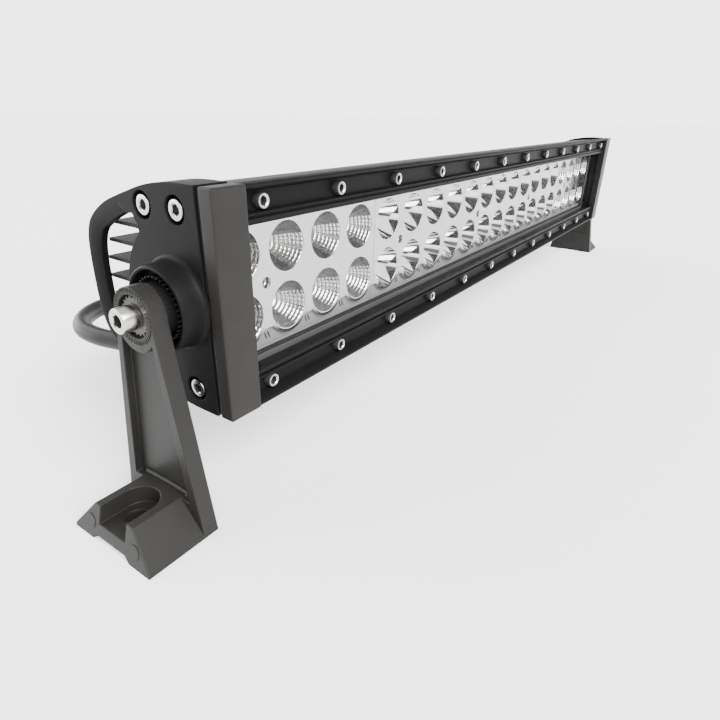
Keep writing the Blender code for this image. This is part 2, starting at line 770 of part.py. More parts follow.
def make_cable():
    path = cable_path()
    curve = bpy.data.curves.new("cable", "CURVE")
    curve.dimensions = "3D"
    curve.bevel_depth = CABLE_DIAMETER / 2 * MM
    curve.bevel_resolution = 2
    curve.use_fill_caps = True
    spline = curve.splines.new("POLY")
    spline.points.add(len(path) - 1)
    for knot, place in zip(spline.points, path):
        knot.co = (*point(*place), 1)
    cable = add_object("cable", curve, PARTS)
    cable.data.materials.append(make_material("rubber"))
    return path


def make_connector(path):
    """Waterproof two-pin plug: moulded sleeve, coupling nut and open socket."""
    along = (path[-1] - path[-2]).normalized()
    start = path[-1] + along * CONNECTOR_GAP
    profile = [
        (0, 32.0), (5.0, 32.0), (5.0, 40.0), (6.6, 40.0), (7.0, 38.6), (7.0, 36.4), (8.0, 35.6),
        (8.0, 22.4), (7.2, 21.6), (6.5, 21.0), (6.5, 9.0), (5.0, 0), (0, 0),
    ]
    plug = turned("connector", profile, start, along, 20)
    return finish_part(plug, "rubber")


clear_scene()
PARTS = new_collection("led_light_bar")
CUTTERS = new_collection("cutters")

make_housing()
make_strip("top_bezel_strip", 1)
make_strip("bottom_bezel_strip", -1)
make_front_screws(1, "top")
make_front_screws(-1, "bottom")
make_lens()
for module in range(MODULES):
    make_reflector(module)
make_led_board()
make_driver_board()
for SIDE_NAME, SIDE in (("left", -1), ("right", 1)):
    make_post(SIDE_NAME + "_end_post", SIDE)
    make_end_plate(SIDE_NAME + "_end_plate", SIDE)
    make_end_gasket(SIDE_NAME + "_end_gasket", SIDE)
    make_cap_screws(SIDE_NAME, SIDE)
    make_bracket(SIDE_NAME + "_bracket", SIDE)
    make_lock_washer(SIDE_NAME + "_lock_washer", SIDE)
    make_pivot_bolt(SIDE_NAME + "_pivot_bolt", SIDE)
make_gland()
make_connector(make_cable())
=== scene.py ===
"""Looks of the LED light bar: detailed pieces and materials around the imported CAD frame.

Sizes are in millimetres on the bar's own datum: x runs along the bar from its middle, y runs
backwards from the faces of the front screw heads, and z is the height over the pivot axis.
"""
import json
import math

import bmesh
import bpy
from mathutils import Matrix, Vector


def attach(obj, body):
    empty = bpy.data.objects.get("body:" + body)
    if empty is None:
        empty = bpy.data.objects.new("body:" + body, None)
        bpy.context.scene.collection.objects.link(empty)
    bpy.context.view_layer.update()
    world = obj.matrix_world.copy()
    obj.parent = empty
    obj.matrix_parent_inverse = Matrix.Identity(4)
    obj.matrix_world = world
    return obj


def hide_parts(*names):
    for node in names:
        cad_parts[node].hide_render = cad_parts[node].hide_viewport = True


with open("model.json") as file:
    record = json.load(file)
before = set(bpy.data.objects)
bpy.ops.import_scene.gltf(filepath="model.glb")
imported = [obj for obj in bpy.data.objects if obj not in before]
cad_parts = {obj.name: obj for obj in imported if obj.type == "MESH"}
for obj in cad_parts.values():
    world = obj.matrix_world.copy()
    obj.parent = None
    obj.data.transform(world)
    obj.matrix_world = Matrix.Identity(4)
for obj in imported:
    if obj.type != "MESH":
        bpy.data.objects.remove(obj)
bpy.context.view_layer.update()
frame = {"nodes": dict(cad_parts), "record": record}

MM = 0.001
PIVOT_Y = 20.4
AXIS_HEIGHT = 80.7
PIVOT = Vector(frame["record"]["behaviour"]["joints"][0]["pos_m"])
ORIGIN = Vector((0, PIVOT.y - PIVOT_Y * MM, PIVOT.z))
SIDES = (("left", -1), ("right", 1))

# Lamps
LED_PITCH = 25.0
LED_ROW_Z = 12.2
MODULES = 5
MODULE_COLUMNS = 4
MODULE_LENGTH = LED_PITCH * MODULE_COLUMNS
FLOOD_MODULES = (0, 4)
CUP_RADIUS = 10.34
CUP_FLOOR_RADIUS = 3.3
REFLECTOR_FRONT = 13.1
REFLECTOR_BACK = 26.2
LEDGE_Y = 14.7
FLOOD_RINGS = 8
FLOOD_FLUTES = 32
SCALLOP_RADIUS = 11.7
SCALLOP_FLOOR = 6.5
FACE_HALF_HEIGHT = 27.1
FACE_END_GAP = 0.15
LED_BOARD_FACE = 26.4

# Front frame
STRIP_END = 246.3
POST_INNER = 246.6
POST_OUTER = 261.1
POST_FRONT = -2.5
POST_BACK = 3.6
FRAME_BACK = 5.0
FRAME_TOP = 39.8
FRONT_SCREWS = 12
FRONT_SCREW_PITCH = 43.07
FRONT_SCREW_Z = 33.48
CHANNEL_FLOOR = 3.0

# End plates
PLATE_FACE = 261.0
PLATE_BACK = 256.4
HOUSING_FRONT = 5.3
HOOD_END = 247.2
HOOD_WALL = 1.5
CROWN_TOP = 40.1
CROWN_FLAT = 14.0
CROWN_CURVE = 0.0068
LOOP_BACK = 71.2
LOOP_FRONT_RADIUS = 27.1
BEVEL_DEPTH = 1.8
CAP_SCREWS = ((15.5, 31.7), (32.5, 31.6))

# Brackets and bolts
BRACKET_INNER = 272.0
BRACKET_OUTER = 278.4
HUB_RADIUS = 9.9
HUB_RECESS_RADIUS = 7.4
HUB_RECESS_FLOOR = 276.1
LEG_HALF_FOOT = 22.3
FLANGE_WIDTH = 4.5
WEB_FLOOR = 275.5
FOOT_OUTER = 301.8
FOOT_LEAN = 3.6
FOOT_TOP = 67.0
FOOT_EDGE = 79.3
FOOT_TOP_HALF = 11.0
SLOT_RADIUS = 7.65
SLOT_CENTRE = 288.4
SLOT_FLOOR = 74.0
FOOT_HOLE_X = 290.0
FOOT_HOLE_RADIUS = 4.25
FOOT_INNER = 275.0
BORE_RADIUS = 2.8
BOLT_HEAD_RADIUS = 4.25
BOLT_FACE = 283.8
WASHER_TEETH = 20
HUB_TEETH = 44

# Lead
CABLE_DIAMETER = 8.2
GLAND_BASE = (-241.0, 39.8, -30.1)
GLAND_TIP = (-246.4, 59.7, -31.6)
CABLE_ROUTE = [
    (-246.5, 60.0, -31.6), (-249.2, 70.0, -32.3), (-252.0, 80.0, -32.6), (-254.4, 90.0, -32.4),
    (-254.6, 100.0, -32.0), (-251.0, 109.3, -31.8), (-244.2, 117.0, -31.8), (-235.5, 122.8, -32.2),
    (-225.0, 127.5, -33.5), (-213.0, 131.5, -36.5), (-199.5, 135.0, -42.0), (-184.0, 138.5, -49.0),
    (-167.0, 142.5, -57.0), (-150.0, 147.0, -65.0), (-132.0, 152.0, -72.0), (-113.0, 157.5, -75.8),
    (-92.0, 163.5, -76.5), (-66.0, 170.0, -76.5), (-38.0, 175.0, -76.5), (-8.0, 178.0, -76.5),
    (24.0, 179.0, -76.5), (58.0, 178.5, -76.4), (90.0, 177.0, -75.6), (118.0, 176.0, -73.6),
    (146.0, 175.5, -72.6),
]

# Camera: focal length, where it stands, and its yaw, pitch and roll in degrees
CAMERA_LENS = 26.54
CAMERA_AT = (-367.56, -129.96, 61.36)
CAMERA_TURN = (34.5895, 25.2432, 1.1628)

# Studio
ROOM = 0.18
BACKDROP = 3.9
TOP_LIGHT = 3.0
FRONT_LIGHT = 12.0
REAR_LIGHT = 6.0
BACKDROP_SIDE = (0.823, 0.568, 0)
FLOOR_HALF = 12


# Helpers

def place(x, y, z):
    """A point on the bar's datum, in the frame's metres."""
    return ORIGIN + Vector((x, y, z)) * MM


def add_object(name, data):
    piece = bpy.data.objects.new(name, data)
    bpy.context.scene.collection.objects.link(piece)
    return piece


def arc(centre, radius, start, end, steps):
    """Points along an arc, its angles in degrees."""
    points = []
    for step in range(steps + 1):
        angle = math.radians(start + (end - start) * step / steps)
        points.append((centre[0] + radius * math.cos(angle), centre[1] + radius * math.sin(angle)))
    return points


def circle(centre, radius, steps):
    return arc(centre, radius, 0, 360, steps)[:-1]


def smooth(points, steps):
    """A smooth curve through the given points, with some steps between each two."""
    points = [Vector(point) for point in points]
    padded = [2 * points[0] - points[1]] + points + [2 * points[-1] - points[-2]]
    result = []
    for before, start, end, after in zip(padded, padded[1:], padded[2:], padded[3:]):
        for step in range(steps):
            t = step / steps
            bend = (2 * start + (end - before) * t
                    + (2 * before - 5 * start + 4 * end - after) * t ** 2
                    + (3 * start - before - 3 * end + after) * t ** 3)
            result.append(bend / 2)
    result.append(points[-1])
    return [tuple(point) for point in result]


def mirrored(half):
    return half + [(y, -z) for y, z in reversed(half) if abs(z) > 1e-6]


def crown(y):
    """Height of the end plate's top edge at a depth behind the front."""
    return CROWN_TOP - CROWN_CURVE * max(0.0, y - CROWN_FLAT) ** 2


def evaluated_mesh(piece):
    bpy.context.view_layer.update()
    seen = piece.evaluated_get(bpy.context.evaluated_depsgraph_get())
    mesh = bpy.data.meshes.new_from_object(seen)
    mesh.transform(piece.matrix_world)
    return mesh


def settle(piece):
    """Replace a piece by its evaluated mesh, in the frame's own coordinates."""
    mesh = evaluated_mesh(piece)
    result = add_object("settled", mesh)
    name = piece.name
    bpy.data.objects.remove(piece, do_unlink=True)
    result.name = name
    return result


def face_outwards(shell):
    bmesh.ops.recalc_face_normals(shell, faces=shell.faces)
    if shell.calc_volume(signed=True) < 0:
        bmesh.ops.reverse_faces(shell, faces=shell.faces)


def tidy_mesh(mesh, flatten=True):
    """Close seams, merge coplanar faces and face everything outwards."""
    shell = bmesh.new()
    shell.from_mesh(mesh)
    bmesh.ops.remove_doubles(shell, verts=shell.verts, dist=0.000001)
    if flatten:
        bmesh.ops.dissolve_limit(shell, angle_limit=math.radians(0.4), verts=shell.verts,
                                 edges=shell.edges)
    face_outwards(shell)
    shell.to_mesh(mesh)
    shell.free()


TURNS = {
    "X": (math.radians(90), 0, math.radians(90)),
    "Y": (math.radians(90), 0, 0),
    "Z": (0, 0, 0),
}


def prism(name, loops, axis, low, high):
    """A flat outline, with any holes in it, carried along one axis from low to high."""
    curve = bpy.data.curves.new(name, "CURVE")
    curve.dimensions = "2D"
    curve.fill_mode = "BOTH"
    curve.extrude = abs(high - low) / 2 * MM
    for loop in loops:
        spline = curve.splines.new("POLY")
        spline.points.add(len(loop) - 1)
        for knot, (a, b) in zip(spline.points, loop):
            knot.co = (a * MM, b * MM, 0, 1)
        spline.use_cyclic_u = True
    guide = add_object(name, curve)
    guide.rotation_euler = TURNS[axis]
    middle = (low + high) / 2
    guide.location = place(*(middle if axis == letter else 0 for letter in "XYZ"))
    piece = settle(guide)
    tidy_mesh(piece.data)
    return piece


def from_shell(name, shell):
    mesh = bpy.data.meshes.new(name)
    shell.to_mesh(mesh)
    shell.free()
    return add_object(name, mesh)


def rods(name, ends, radii, segments):
    """Round bars, or cones with two radii, between pairs of points, all in one mesh."""
    shell = bmesh.new()
    for start, end in ends:
        along = place(*end) - place(*start)
        turn = along.to_track_quat("Z", "Y").to_matrix().to_4x4()
        middle = (place(*start) + place(*end)) / 2
        bmesh.ops.create_cone(
            shell, cap_ends=True, segments=segments, radius1=radii[0] * MM, radius2=radii[1] * MM,
            depth=along.length, matrix=Matrix.Translation(middle) @ turn)
    return from_shell(name, shell)


def rod(name, start, end, radius, segments=48):
    return rods(name, [(start, end)], (radius, radius), segments)


def tube(name, path, radius, resolution):
    """A round bar along a path, as a curve."""
    curve = bpy.data.curves.new(name, "CURVE")
    curve.dimensions = "3D"
    curve.bevel_depth = radius * MM
    curve.bevel_resolution = resolution
    curve.use_fill_caps = True
    spline = curve.splines.new("POLY")
    spline.points.add(len(path) - 1)
    for knot, point in zip(spline.points, path):
        knot.co = (*place(*point), 1)
    return add_object(name, curve)


def block(name, low, high):
    shell = bmesh.new()
    bmesh.ops.create_cube(shell, size=1)
    a, b = place(*low), place(*high)
    size = [abs(u - v) for u, v in zip(a, b)]
    bmesh.ops.transform(shell, verts=shell.verts,
                        matrix=Matrix.Translation((a + b) / 2) @ Matrix.Diagonal((*size, 1)))
    return from_shell(name, shell)


def turned(name, profile, start, direction, steps, wave=None):
    """A closed solid turned about a line from start; profile holds (radius, height), top first.

    The first and last points lie on the line. wave(index, angle) may add to a point's radius.
    """
    shell = bmesh.new()
    turn = Vector(direction).to_track_quat("Z", "Y").to_matrix().to_4x4()
    at = Matrix.Translation(place(*start)) @ turn
    rings = []
    for index, (radius, height) in enumerate(profile):
        if radius < 1e-6:
            rings.append([shell.verts.new(at @ Vector((0, 0, height * MM)))])
            continue
        ring = []
        for step in range(steps):
            angle = 2 * math.pi * step / steps
            r = (radius + (wave(index, angle) if wave else 0)) * MM
            ring.append(shell.verts.new(at @ Vector((r * math.cos(angle), r * math.sin(angle),
                                                     height * MM))))
        rings.append(ring)
    for upper, lower in zip(rings, rings[1:]):
        for i in range(steps):
            j = (i + 1) % steps
            if len(upper) == 1:
                shell.faces.new((upper[0], lower[i], lower[j]))
            elif len(lower) == 1:
                shell.faces.new((upper[i], lower[0], upper[j]))
            else:
                shell.faces.new((upper[i], lower[i], lower[j], upper[j]))
    face_outwards(shell)
    return from_shell(name, shell)


def loft(name, outlines):
    """A solid through outlines with as many points each."""
    shell = bmesh.new()
    rings = [[shell.verts.new(place(*point)) for point in outline] for outline in outlines]
    count = len(outlines[0])
    for low, high in zip(rings, rings[1:]):
        for i in range(count):
            j = (i + 1) % count
            shell.faces.new((low[i], low[j], high[j], high[i]))
    bmesh.ops.triangulate(shell, faces=shell.faces)
    shell.faces.new(rings[0])
    shell.faces.new(rings[-1])
    face_outwards(shell)
    return from_shell(name, shell)


def combine(piece, tools, operation):
    """Apply Booleans to a piece and drop the tools."""
    for tool in tools:
        modifier = piece.modifiers.new("cut", "BOOLEAN")
        modifier.operation = operation
        modifier.solver = "EXACT"
        modifier.object = tool
    piece = settle(piece)
    for tool in tools:
        bpy.data.objects.remove(tool, do_unlink=True)
    tidy_mesh(piece.data)
    return piece


def cut(piece, *tools):
    return combine(piece, tools, "DIFFERENCE")


def join(piece, *tools):
    return combine(piece, tools, "UNION")


def merge(name, parts):
    """One mesh of several separate shells, for groups of small repeated details."""
    shell = bmesh.new()
    for part in parts:
        shell.from_mesh(part.data)
        bpy.data.objects.remove(part, do_unlink=True)
    return from_shell(name, shell)


def round_edges(piece, width, segments=2, angle=28):
    """Small rounded edges that catch the light, with clean shading."""
    piece.data.shade_smooth()
    bevel = piece.modifiers.new("edges", "BEVEL")
    bevel.width = width * MM
    bevel.segments = segments
    bevel.limit_method = "ANGLE"
    bevel.angle_limit = math.radians(angle)
    bevel.use_clamp_overlap = False
    bevel.loop_slide = False
    piece.modifiers.new("normals", "WEIGHTED_NORMAL")
    return piece


def shade(piece, angle=35):
    piece.data.shade_smooth()
    piece.data.set_sharp_from_angle(angle=math.radians(angle))
    return piece


def paint_shade_on_faces(piece, inside):
    """Give the faces whose centres pass a test the piece's second material, a darker one that paints
    shade.
    """
    for face in piece.data.polygons:
        x, y, z = (face.center - ORIGIN) / MM
        face.material_index = int(inside(x, y, z))


def finish_piece(piece, material, body, node=None, second=None):
    """Give a piece its materials, its body and the CAD node that it stands for."""
    keep = [face.material_index for face in piece.data.polygons] if second else []
    piece.data.materials.clear()
    piece.data.materials.append(material)
    if second:
        piece.data.materials.append(second)
        piece.data.polygons.foreach_set("material_index", keep)
    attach(piece, body)
    if node:
        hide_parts(node)
    return piece


# Materials

def socket_values(shader, **values):
    for name, value in values.items():
        shader.inputs[name.replace("_", " ")].default_value = value


def surface(name, colour, roughness, metallic=0.0, grain=900.0, bump=0.15, spread=0.25,
            rough_spread=0.08, bump_distance=0.0001, stretch=(1, 1, 1), **sockets):
    """A Principled material whose colour, roughness and bump vary with fine noise."""
    material = bpy.data.materials.new(name)
    material.use_nodes = True
    nodes = material.node_tree.nodes
    link = material.node_tree.links.new
    shader = nodes["Principled BSDF"]
    shader.inputs["Metallic"].default_value = metallic
    socket_values(shader, **sockets)
    where = nodes.new("ShaderNodeTexCoord")
    scale = nodes.new("ShaderNodeMapping")
    scale.inputs["Scale"].default_value = stretch
    link(where.outputs["Object"], scale.inputs["Vector"])
    cloud = nodes.new("ShaderNodeTexNoise")
    cloud.inputs["Scale"].default_value = grain * 0.05
    cloud.inputs["Detail"].default_value = 4
    fine = nodes.new("ShaderNodeTexNoise")
    fine.inputs["Scale"].default_value = grain
    fine.inputs["Detail"].default_value = 3
    link(scale.outputs["Vector"], cloud.inputs["Vector"])
    link(scale.outputs["Vector"], fine.inputs["Vector"])
    tint = nodes.new("ShaderNodeMix")
    tint.data_type = "RGBA"
    tint.inputs["A"].default_value = (*[c * (1 - spread) for c in colour], 1)
    tint.inputs["B"].default_value = (*[min(1.0, c * (1 + spread)) for c in colour], 1)
    link(cloud.outputs["Fac"], tint.inputs["Factor"])
    link(tint.outputs["Result"], shader.inputs["Base Color"])
    gloss = nodes.new("ShaderNodeMapRange")
    gloss.inputs["To Min"].default_value = max(0.0, roughness - rough_spread)
    gloss.inputs["To Max"].default_value = min(1.0, roughness + rough_spread)
    link(fine.outputs["Fac"], gloss.inputs["Value"])
    link(gloss.outputs["Result"], shader.inputs["Roughness"])
    relief = nodes.new("ShaderNodeBump")
    relief.inputs["Strength"].default_value = bump
    relief.inputs["Distance"].default_value = bump_distance
    link(fine.outputs["Fac"], relief.inputs["Height"])
    link(relief.outputs["Normal"], shader.inputs["Normal"])
    return material


HEAT_SINK = surface("heat_sink_coat", (0.0085, 0.0083, 0.0085), 0.45, grain=1800, bump=0.15,
                    Specular_IOR_Level=0.08)
BLACK = surface("satin_black_coat", (0.0045, 0.0044, 0.0045), 0.46, grain=1800, bump=0.12,
                Specular_IOR_Level=0.05)
FRAME = surface("frame_black_coat", (0.0112, 0.0107, 0.0100), 0.42, grain=1500, bump=0.12,
                Specular_IOR_Level=0.12)
CHARCOAL = surface("bracket_charcoal_coat", (0.0110, 0.0106, 0.0100), 0.44, grain=1500, bump=0.45,
                   spread=0.15, bump_distance=0.00014, Specular_IOR_Level=0.14)
STAINLESS = surface("stainless_steel", (0.46, 0.447, 0.43), 0.24, metallic=1.0, grain=1200,
                    bump=0.15, spread=0.15)
# Painted shade: darker steel for the front and lamp screws' drive sockets and the front screws' head
# sides.
SOCKET_AND_SIDE_SHADE = surface("painted_shade_screw_sockets_and_sides", (0.045, 0.043, 0.042), 0.45, metallic=0.6, grain=1200)
# Painted shade: darker steel for the drive sockets of the cap screws and pivot bolts.
SOCKET_SHADE = surface("painted_shade_steel_sockets", (0.16, 0.155, 0.15), 0.40, metallic=1.0, grain=1200)
# Painted shade: the lock washer's dark tone stands for the shade deep in the hub's recess.
WASHER_RECESS_SHADE = surface("steel_with_painted_recess_shade", (0.045, 0.044, 0.042), 0.50, metallic=0.6, grain=1200)
CHROME = surface("spot_chrome", (0.78, 0.775, 0.77), 0.04, metallic=1.0, grain=300, bump=0.03,
                 spread=0.02, rough_spread=0.02)
# Stippled chrome: the bump and roughness are the real stipple, the dark base colour is painted shade;
# it also paints shade along the flood cups' creases.
STIPPLE_AND_CREASE_SHADE = surface("stippled_chrome_with_painted_shade", (0.16, 0.158, 0.156), 0.28, metallic=1.0, grain=3200, bump=0.6,
                  spread=0.3, bump_distance=0.00012)
FLOOD_CHROME = surface("flood_chrome", (0.84, 0.835, 0.83), 0.12, metallic=1.0, grain=1500,
                       bump=0.25, spread=0.03, rough_spread=0.04, bump_distance=0.0001)
PLATE_CHROME = surface("reflector_face_chrome", (0.56, 0.555, 0.55), 0.20, metallic=1.0,
                       grain=500, bump=0.04, spread=0.02, rough_spread=0.03)
LEDGE_CHROME = surface("reflector_ledge_chrome", (0.20, 0.197, 0.194), 0.40, metallic=0.2,
                       grain=500, bump=0.03, spread=0.03)
SILICONE = surface("seal_silicone", (0.045, 0.045, 0.044), 0.55, grain=900, bump=0.1)
BOARD = surface("white_solder_mask", (0.70, 0.69, 0.66), 0.35, grain=900, bump=0.08, spread=0.05)
CIRCUIT = surface("green_solder_mask", (0.012, 0.09, 0.035), 0.35, grain=900, bump=0.1)
RUBBER = surface("cable_rubber", (0.0085, 0.0083, 0.0080), 0.40, grain=1300, bump=0.25,
                 Specular_IOR_Level=0.2)
NYLON = surface("black_nylon", (0.007, 0.007, 0.007), 0.38, grain=1300, bump=0.2,
                Specular_IOR_Level=0.2)
CERAMIC = surface("led_ceramic", (0.75, 0.74, 0.70), 0.40, grain=1500, bump=0.05, spread=0.04)
PHOSPHOR = surface("led_phosphor", (0.78, 0.62, 0.18), 0.30, grain=1500, bump=0.05, spread=0.08)


def clear_material():
    material = surface("clear_lens", (0.10, 0.10, 0.10), 0.04, grain=120, bump=0.02, spread=0.05,
                       rough_spread=0.015)
    shader = material.node_tree.nodes["Principled BSDF"]
    shader.inputs["Alpha"].default_value = 0.06
    shader.inputs["IOR"].default_value = 1.58
    return material


CLEAR = clear_material()


# Camera, light and floor

def make_camera():
    data = bpy.data.cameras.new("camera")
    data.sensor_width = 36
    data.lens = CAMERA_LENS
    camera = add_object("camera", data)
    yaw, pitch, roll = (math.radians(angle) for angle in CAMERA_TURN)
    forward = Vector((math.cos(yaw) * math.cos(pitch), math.sin(yaw) * math.cos(pitch),
                      -math.sin(pitch)))
    level = Vector((math.sin(yaw), -math.cos(yaw), 0))
    rise = level.cross(forward)
    right = math.cos(roll) * level + math.sin(roll) * rise
    up = math.cos(roll) * rise - math.sin(roll) * level
    turn = Matrix((right, up, -forward)).transposed()
    camera.matrix_world = Matrix.Translation(place(*CAMERA_AT)) @ turn.to_4x4()
    bpy.context.scene.camera = camera


def sun(name, source, strength, angle):
    data = bpy.data.lights.new(name, "SUN")
    data.energy = strength
    data.angle = math.radians(angle)
    lamp = add_object(name, data)
    lamp.rotation_euler = (-Vector(source)).to_track_quat("-Z", "Y").to_euler()


def ramp(nodes, link, value, low, high, start, end):
    """A smooth step of a value from one level to another."""
    step = nodes.new("ShaderNodeMapRange")
    step.interpolation_type = "SMOOTHSTEP"
    step.inputs["From Min"].default_value = low
    step.inputs["From Max"].default_value = high
    step.inputs["To Min"].default_value = start
    step.inputs["To Max"].default_value = end
    link(value, step.inputs["Value"])
    return step.outputs["Result"]


def make_studio():
    """A dim room with a bright low backdrop all round, and soft lights above, in front and behind."""
    world = bpy.data.worlds.new("studio")
    world.use_nodes = True
    nodes = world.node_tree.nodes
    link = world.node_tree.links.new
    where = nodes.new("ShaderNodeTexCoord")
    across = nodes.new("ShaderNodeVectorMath")
    across.operation = "DOT_PRODUCT"
    across.inputs[1].default_value = BACKDROP_SIDE
    link(where.outputs["Generated"], across.inputs[0])
    parts = nodes.new("ShaderNodeSeparateXYZ")
    link(where.outputs["Generated"], parts.inputs["Vector"])
    behind = ramp(nodes, link, across.outputs["Value"], -0.2, 0.70, BACKDROP * 0.7, BACKDROP)
    low = ramp(nodes, link, parts.outputs["Z"], 0.15, 0.24, 1, 0)
    glow = nodes.new("ShaderNodeMath")
    glow.operation = "MULTIPLY_ADD"
    glow.inputs[2].default_value = ROOM
    link(behind, glow.inputs[0])
    link(low, glow.inputs[1])
    link(glow.outputs["Value"], nodes["Background"].inputs["Strength"])
    nodes["Background"].inputs["Color"].default_value = (1, 1, 1, 1)
    bpy.context.scene.world = world
    sun("top_light", (0.1, -0.1, 1.0), TOP_LIGHT, 110)
    sun("front_light", (-0.25, -0.75, 0.62), FRONT_LIGHT, 45)
    sun("rear_light", (-0.35, 0.85, 0.35), REAR_LIGHT, 70)
    shell = bmesh.new()
    bmesh.ops.create_grid(shell, x_segments=1, y_segments=1, size=FLOOR_HALF)
    floor = from_shell("floor", shell)
    floor.data.materials.append(surface("pale_floor", (0.90, 0.90, 0.90), 0.9, grain=40, bump=0.0,
                                        spread=0.005, Specular_IOR_Level=0.1))


# Lead

def make_cable():
    path = smooth(CABLE_ROUTE, 6)
    cable = tube("lead", path, CABLE_DIAMETER / 2, 8)
    cable.data.splines[0].use_smooth = True
    finish_piece(cable, RUBBER, "bar", "cable")
    make_gland()
    plug = make_plug(path)


def make_gland():
    base, tip = Vector(GLAND_BASE), Vector(GLAND_TIP)
    along = (tip - base).normalized()
    length = (tip - base).length
    nut = rod("gland_nut", base, base + along * 5.5, 6.9, 6)
    round_edges(nut, 0.4, 2)
    nut = settle(nut)
    profile = [(0, length), (4.5, length), (5.0, length - 0.3), (5.6, length - 1.6),
               (6.0, length - 3.5), (6.2, length - 6.0), (6.2, 9.4), (6.0, 8.8), (5.6, 8.4),
               (5.6, 5.0), (0, 5.0)]

    def ribs(index, angle):
        return 0.22 * (math.cos(14 * angle) - 1) if 4 <= index <= 6 else 0

    gland = join(nut, turned("gland_dome", profile, base, along, 112, ribs))
    gland.name = "lead_gland"
    finish_piece(shade(gland), NYLON, "bar", "cable_gland")


def make_plug(path):
    """Waterproof two-pin plug: moulded sleeve, ribbed coupling nut, socket and pins."""
    along = (Vector(path[-1]) - Vector(path[-2])).normalized()
    start = Vector(path[-1]) + along * 0.4
    profile = [
        (0, 31.5), (4.9, 31.5), (4.9, 39.6), (5.2, 40.0), (6.4, 40.0), (6.8, 39.4), (7.0, 38.4),
        (7.0, 36.4), (7.9, 35.8), (8.0, 35.2), (8.0, 22.8), (7.8, 22.2), (7.0, 21.8), (6.5, 21.2),
        (6.5, 9.0), (6.2, 7.0), (5.4, 2.0), (5.0, 0.4), (4.6, 0), (0, 0),
    ]

    def ribs(index, angle):
        return 0.2 * (math.cos(20 * angle) - 1) if 8 <= index <= 11 else 0

    plug = turned("plug", profile, start, along, 120, ribs)
    finish_piece(shade(plug), NYLON, "bar", "connector")
    side = along.cross(Vector((0, 0, 1))).normalized()
    pins = [rod("pin", start + along * 31 + side * offset, start + along * 37.5 + side * offset,
                1.0, 16) for offset in (-2.2, 2.2)]
    pins = merge("plug_pins", pins)
    finish_piece(shade(pins), STAINLESS, "bar")
    return [plug, pins]


# Screws and bolts

def socket_screw(name, face, direction, radius, height, socket, depth, segments=40):
    """A socket-cap head with a chamfered rim and a hexagonal drive."""
    along = Vector(direction)
    start = Vector(face)
    profile = [(0, height), (radius, height), (radius, 0.35), (radius - 0.12, 0.1),
               (radius - 0.35, 0), (0, 0)]
    head = turned(name, profile, start, along, segments)
    drive = rod("drive", start - along, start + along * depth, socket / math.cos(math.pi / 6), 6)
    cone = rods("cone", [(start - along * 0.3, start + along * 0.35)],
                (socket + 0.75, socket + 0.1), segments)
    head = shade(cut(head, drive, cone), 30)
    limit = socket / math.cos(math.pi / 6) + 0.05

    def in_socket(x, y, z):
        offset = Vector((x, y, z)) - start
        down = offset.dot(along)
        return down > 0.3 and (offset - along * down).length < limit

    # The drive's faces take the darker second material: painted shade in the socket.
    paint_shade_on_faces(head, in_socket)
    return head


def paint_head_side_shade(screw, face, limit):
    """Blacken the sides of a front screw's head, below its bright rim: painted shade on the head's
    sides.
    """
    start = Vector(face)
    for polygon in screw.data.polygons:
        offset = (polygon.center - ORIGIN) / MM - start
        if math.hypot(offset.x, offset.z) > limit:
            polygon.material_index = 1


def make_front_screws():
    first = -FRONT_SCREW_PITCH * (FRONT_SCREWS - 1) / 2
    shared = None
    for label, up in (("top", 1), ("bottom", -1)):
        for i in range(FRONT_SCREWS):
            x = first + FRONT_SCREW_PITCH * i
            name = f"{label}_screw_head_{i + 1:02d}"
            if shared is None:
                face = (x, 0, up * FRONT_SCREW_Z)
                screw = socket_screw(name, face, (0, 1, 0), 2.7, 2.9, 1.5, 2.4)
                paint_head_side_shade(screw, face, 2.3)
                shared = screw.data.copy()
                shared.transform(Matrix.Translation(-place(x, 0, up * FRONT_SCREW_Z)))
            else:
                mesh = shared.copy()
                mesh.transform(Matrix.Translation(place(x, 0, up * FRONT_SCREW_Z)))
                screw = add_object(name, mesh)
            finish_piece(screw, STAINLESS, "bar", f"{label}_bezel_screw_{i + 1:02d}",
                         SOCKET_AND_SIDE_SHADE)


def make_cap_screws(label, side):
    number = 1
    for y, z in CAP_SCREWS:
        for up in (1, -1):
            face = (side * (PLATE_FACE - 0.2), y, z * up)
            screw = socket_screw(f"{label}_cap_head_{number}", face, (-side, 0, 0), 3.45, 3.0,
                                 1.65, 2.2)
            finish_piece(screw, STAINLESS, "bar", f"{label}_cap_screw_{number}",
                         SOCKET_SHADE)
            number += 1


def make_pivot_bolt(label, side):
    face = (side * BOLT_FACE, PIVOT_Y, 0)
    bolt = socket_screw(f"{label}_bolt", face, (-side, 0, 0), BOLT_HEAD_RADIUS, 6.1,
                        2.1, 3.6, 64)
    shank = rod("shank", (side * (BOLT_FACE - 4), PIVOT_Y, 0), (side * 262, PIVOT_Y, 0), 2.4, 32)
    bolt = join(bolt, shank)
    bolt.name = f"{label}_bolt"
    finish_piece(shade(bolt, 30), STAINLESS, "bar", f"{label}_pivot_bolt", SOCKET_SHADE)


# Front frame

def strip_section(up):
    """Section of a bezel strip: outer lip, screw channel, bead and lens nose."""
    half = [
        (CHANNEL_FLOOR, 36.6), (-1.5, 38.2), (-1.9, 38.5), (-2.0, 38.9), (-2.0, 39.3), (-1.8, 39.65),
        (-1.4, FRAME_TOP), (POST_BACK - 0.3, FRAME_TOP), (POST_BACK, FRAME_TOP - 0.3),
        (POST_BACK, 38.4), (FRAME_BACK, 38.4), (FRAME_BACK, 30.6), (7.7, 30.6), (7.7, 27.6),
        (0.8, 26.2), (0.4, 26.3), (0.2, 26.7), (0.2, 28.0), (0.5, 28.3), (1.3, 28.4), (1.3, 29.1),
        (0.4, 29.25), (0.1, 29.4), (0.0, 29.7), (0.1, 30.0), (0.5, 30.15), (CHANNEL_FLOOR, 30.3),
    ]
    return [(y, z * up) for y, z in half]


